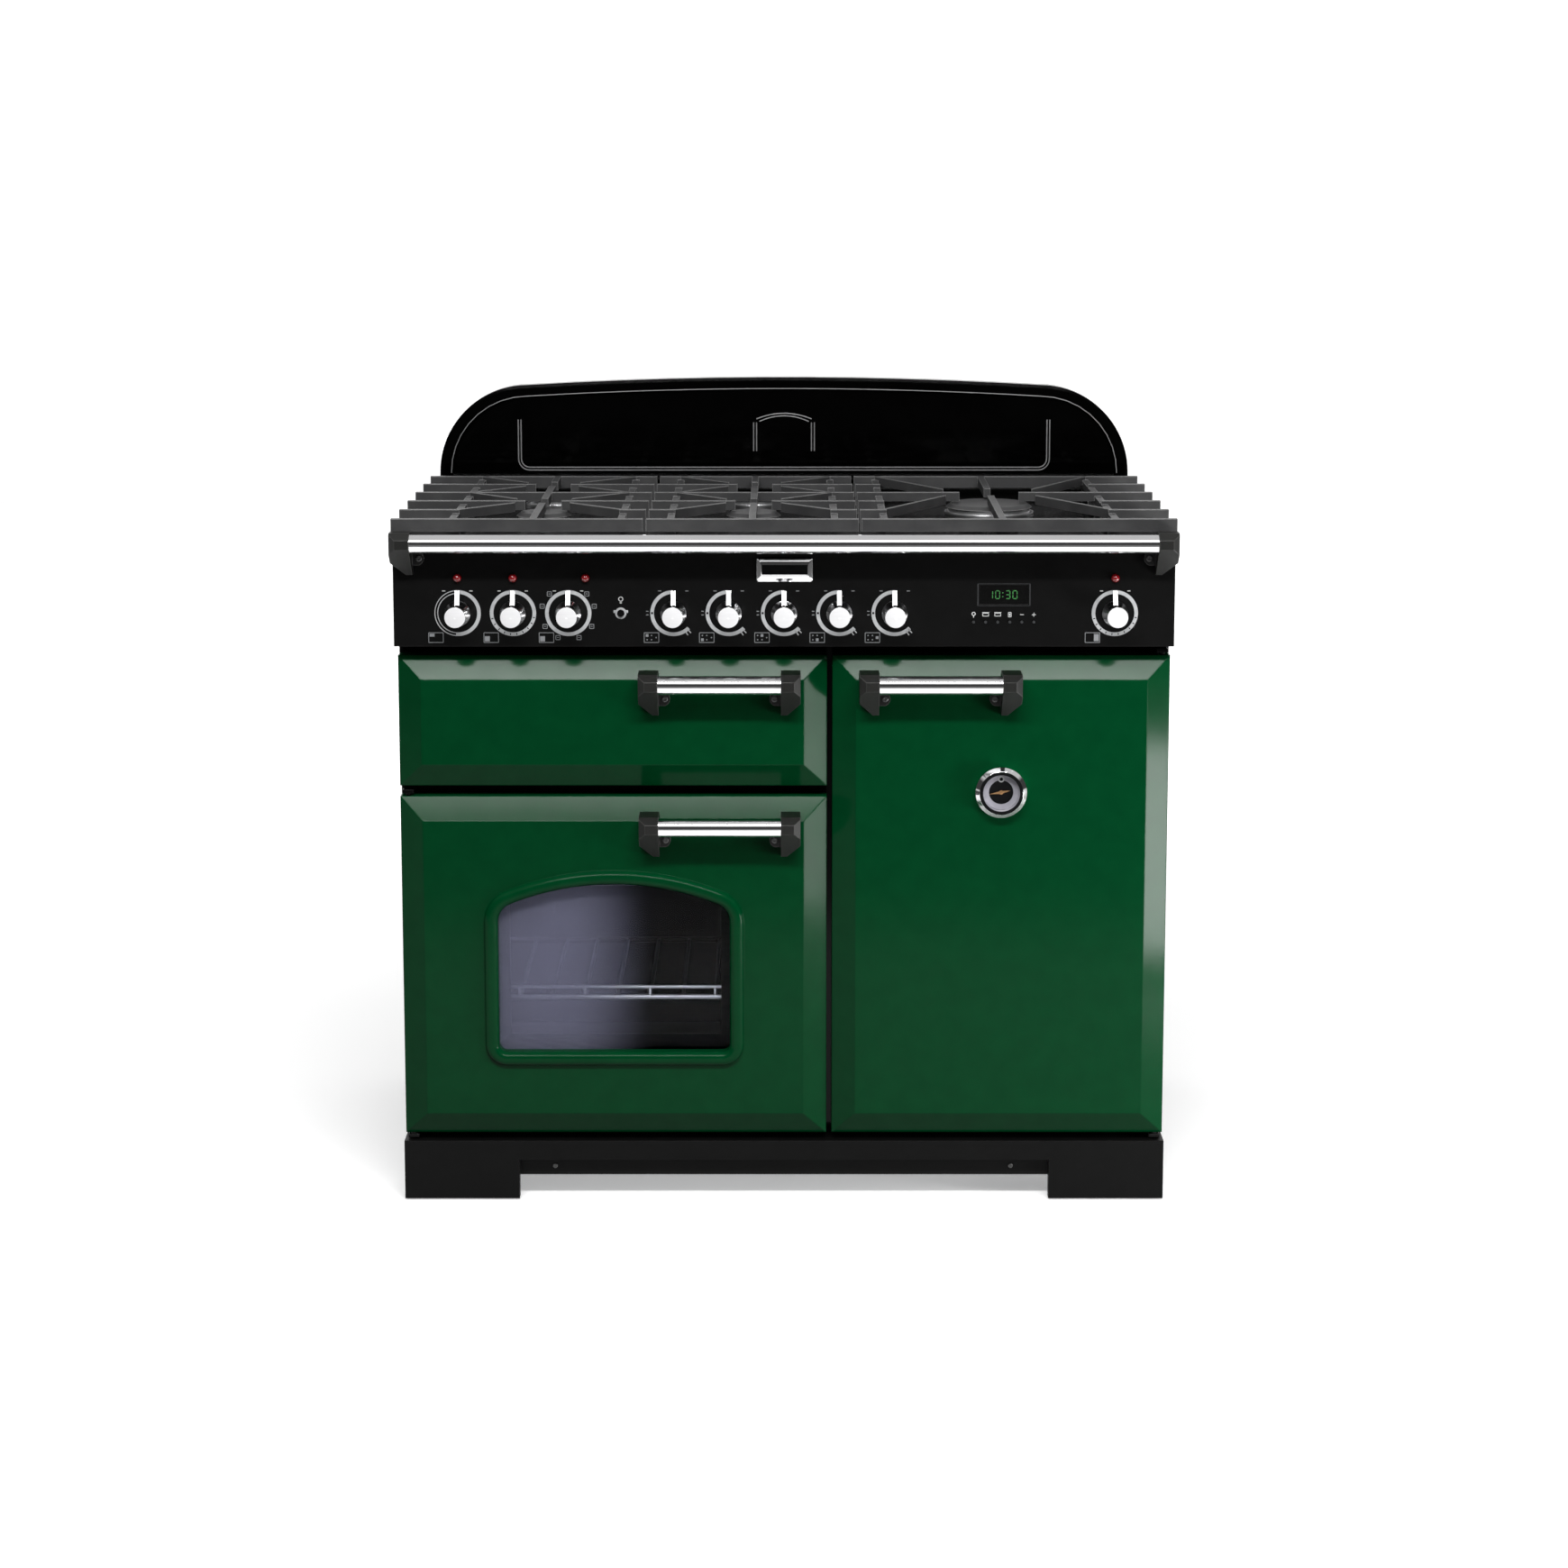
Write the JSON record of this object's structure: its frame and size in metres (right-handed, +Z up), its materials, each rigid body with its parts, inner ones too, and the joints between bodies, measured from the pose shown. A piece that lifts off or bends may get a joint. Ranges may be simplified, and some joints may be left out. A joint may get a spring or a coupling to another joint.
{
  "type": "range cooker",
  "caption": "Free-standing range cooker with a gas hob, a grill, two ovens, a control panel, a front rail and a rounded splashback.",
  "frame": {"origin": "on the floor under the middle of the cooker's box", "axes": "+X to the right seen from the front, +Y to the back, +Z up"},
  "size_m": [0.992, 0.648, 1.0334],
  "materials": {
    "green_enamel": "gloss vitreous enamel",
    "black_enamel": "gloss black enamel",
    "black_casting": "satin black cast metal",
    "chrome": "polished chrome",
    "cast_iron": "matt enamelled iron",
    "aluminium": "satin aluminium",
    "steel": "plain steel",
    "zinc_sheet": "zinc coated sheet",
    "cavity_enamel": "speckled cavity enamel",
    "brass": "plain brass",
    "glass": "smoked glass",
    "seal_rubber": "matt silicone",
    "neon_red": "clear red plastic",
    "black_plastic": "gloss black plastic"
  },
  "bodies": {
    "cabinet": {"base_tray": "zinc_sheet", "burner_caps": "cast_iron", "burner_heads": "aluminium", "control_panel": "black_enamel", "door_hinges": "steel", "door_seals": "seal_rubber", "fan_motors": "steel", "front_frame": "black_enamel", "front_rail": "chrome", "gas_rail": "brass", "grill_liner": "cavity_enamel", "grill_pan": "cavity_enamel", "heating_elements": "steel", "hob_tray": "black_enamel", "levelling_feet": "steel", "main_oven_liner": "cavity_enamel", "neon_lenses": "neon_red", "outer_panels": "black_enamel", "oven_shelves": "chrome", "panel_electrics": "black_plastic", "plinth": "black_enamel", "rail_brackets": "black_casting", "splashback": "black_enamel", "tall_oven_liner": "cavity_enamel"},
    "grill_door": {"grill_door_handle_bar": "chrome", "grill_door_handle_brackets": "black_casting", "grill_door_inner": "zinc_sheet", "grill_door_skin": "green_enamel"},
    "main_door": {"main_door_glass": "glass", "main_door_handle_bar": "chrome", "main_door_handle_brackets": "black_casting", "main_door_inner": "zinc_sheet", "main_door_skin": "green_enamel"},
    "tall_door": {"tall_door_handle_bar": "chrome", "tall_door_handle_brackets": "black_casting", "tall_door_inner": "zinc_sheet", "tall_door_skin": "green_enamel", "gauge_case": "chrome"},
    "clock_button_1": {"clock_button_1": "black_plastic"},
    "clock_button_2": {"clock_button_2": "black_plastic"},
    "clock_button_3": {"clock_button_3": "black_plastic"},
    "clock_button_4": {"clock_button_4": "black_plastic"},
    "clock_button_5": {"clock_button_5": "black_plastic"},
    "clock_button_6": {"clock_button_6": "black_plastic"},
    "knob_grill": {"knob_grill": "chrome"},
    "knob_hob_1": {"knob_hob_1": "chrome"},
    "knob_hob_2": {"knob_hob_2": "chrome"},
    "knob_hob_3": {"knob_hob_3": "chrome"},
    "knob_hob_4": {"knob_hob_4": "chrome"},
    "knob_hob_5": {"knob_hob_5": "chrome"},
    "knob_main_mode": {"knob_main_mode": "chrome"},
    "knob_main_temperature": {"knob_main_temperature": "chrome"},
    "knob_tall_temperature": {"knob_tall_temperature": "chrome"},
    "pan_support_centre": {"pan_support_centre": "cast_iron"},
    "pan_support_left": {"pan_support_left": "cast_iron"},
    "pan_support_right": {"pan_support_right": "cast_iron"},
    "light_button": {"light_button": "black_plastic"},
    "main_oven_fan": {"main_oven_fan": "steel"},
    "tall_oven_fan": {"tall_oven_fan": "steel"},
    "gauge_needle": {"gauge_needle": "brass"}
  },
  "joints": [
    {"name": "grill_door_hinge", "type": "hinge", "parent": "cabinet", "child": "grill_door", "pos_m": [-0.2195, -0.243, 0.566], "axis": [1, 0, 0], "range_deg": [0, 90], "stiffness_Nm_per_rad": 1.5, "springref_deg": -34.38},
    {"name": "main_door_hinge", "type": "hinge", "parent": "cabinet", "child": "main_door", "pos_m": [-0.484, -0.243, 0.314], "axis": [0, 0, -1], "range_deg": [0, 100]},
    {"name": "tall_door_hinge", "type": "hinge", "parent": "cabinet", "child": "tall_door", "pos_m": [0.484, -0.243, 0.406], "axis": [0, 0, 1], "range_deg": [0, 100]},
    {"name": "knob_grill_turn", "type": "hinge", "parent": "cabinet", "child": "knob_grill", "pos_m": [-0.4143, -0.274, 0.78], "axis": [0, -1, 0], "range_deg": [-150, 150]},
    {"name": "knob_main_temperature_turn", "type": "hinge", "parent": "cabinet", "child": "knob_main_temperature", "pos_m": [-0.3441, -0.274, 0.78], "axis": [0, -1, 0], "range_deg": [-270, 0]},
    {"name": "knob_main_mode_turn", "type": "hinge", "parent": "cabinet", "child": "knob_main_mode", "pos_m": [-0.2739, -0.274, 0.78], "axis": [0, -1, 0], "continuous": true},
    {"name": "knob_tall_temperature_turn", "type": "hinge", "parent": "cabinet", "child": "knob_tall_temperature", "pos_m": [0.42, -0.274, 0.78], "axis": [0, -1, 0], "range_deg": [-270, 0]},
    {"name": "knob_hob_1_turn", "type": "hinge", "parent": "cabinet", "child": "knob_hob_1", "pos_m": [-0.1404, -0.274, 0.78], "axis": [0, -1, 0], "range_deg": [0, 220]},
    {"name": "knob_hob_2_turn", "type": "hinge", "parent": "cabinet", "child": "knob_hob_2", "pos_m": [-0.0702, -0.274, 0.78], "axis": [0, -1, 0], "range_deg": [0, 220]},
    {"name": "knob_hob_3_turn", "type": "hinge", "parent": "cabinet", "child": "knob_hob_3", "pos_m": [0, -0.274, 0.78], "axis": [0, -1, 0], "range_deg": [0, 220]},
    {"name": "knob_hob_4_turn", "type": "hinge", "parent": "cabinet", "child": "knob_hob_4", "pos_m": [0.0702, -0.274, 0.78], "axis": [0, -1, 0], "range_deg": [0, 220]},
    {"name": "knob_hob_5_turn", "type": "hinge", "parent": "cabinet", "child": "knob_hob_5", "pos_m": [0.1404, -0.274, 0.78], "axis": [0, -1, 0], "range_deg": [0, 220]},
    {"name": "clock_button_1_press", "type": "slide", "parent": "cabinet", "child": "clock_button_1", "axis": [0, 1, 0], "range_m": [0, 0.0012], "stiffness_N_per_m": 400, "springref_m": -0.0005},
    {"name": "clock_button_2_press", "type": "slide", "parent": "cabinet", "child": "clock_button_2", "axis": [0, 1, 0], "range_m": [0, 0.0012], "stiffness_N_per_m": 400, "springref_m": -0.0005},
    {"name": "clock_button_3_press", "type": "slide", "parent": "cabinet", "child": "clock_button_3", "axis": [0, 1, 0], "range_m": [0, 0.0012], "stiffness_N_per_m": 400, "springref_m": -0.0005},
    {"name": "clock_button_4_press", "type": "slide", "parent": "cabinet", "child": "clock_button_4", "axis": [0, 1, 0], "range_m": [0, 0.0012], "stiffness_N_per_m": 400, "springref_m": -0.0005},
    {"name": "clock_button_5_press", "type": "slide", "parent": "cabinet", "child": "clock_button_5", "axis": [0, 1, 0], "range_m": [0, 0.0012], "stiffness_N_per_m": 400, "springref_m": -0.0005},
    {"name": "clock_button_6_press", "type": "slide", "parent": "cabinet", "child": "clock_button_6", "axis": [0, 1, 0], "range_m": [0, 0.0012], "stiffness_N_per_m": 400, "springref_m": -0.0005},
    {"name": "light_button_press", "type": "slide", "parent": "cabinet", "child": "light_button", "axis": [0, 1, 0], "range_m": [0, 0.0025], "stiffness_N_per_m": 500, "springref_m": -0.001},
    {"name": "pan_support_left_lift", "type": "slide", "parent": "cabinet", "child": "pan_support_left", "axis": [0, 0, 1], "range_m": [0, 0.1]},
    {"name": "pan_support_centre_lift", "type": "slide", "parent": "cabinet", "child": "pan_support_centre", "axis": [0, 0, 1], "range_m": [0, 0.1]},
    {"name": "pan_support_right_lift", "type": "slide", "parent": "cabinet", "child": "pan_support_right", "axis": [0, 0, 1], "range_m": [0, 0.1]},
    {"name": "main_oven_fan_spin", "type": "hinge", "parent": "cabinet", "child": "main_oven_fan", "pos_m": [-0.2195, 0.187, 0.368], "axis": [0, -1, 0], "continuous": true},
    {"name": "tall_oven_fan_spin", "type": "hinge", "parent": "cabinet", "child": "tall_oven_fan", "pos_m": [0.278, 0.187, 0.368], "axis": [0, -1, 0], "continuous": true},
    {"name": "gauge_needle_turn", "type": "hinge", "parent": "tall_door", "child": "gauge_needle", "pos_m": [0.278, -0.274, 0.548], "axis": [0, 1, 0], "range_deg": [0, 240]}
  ]
}
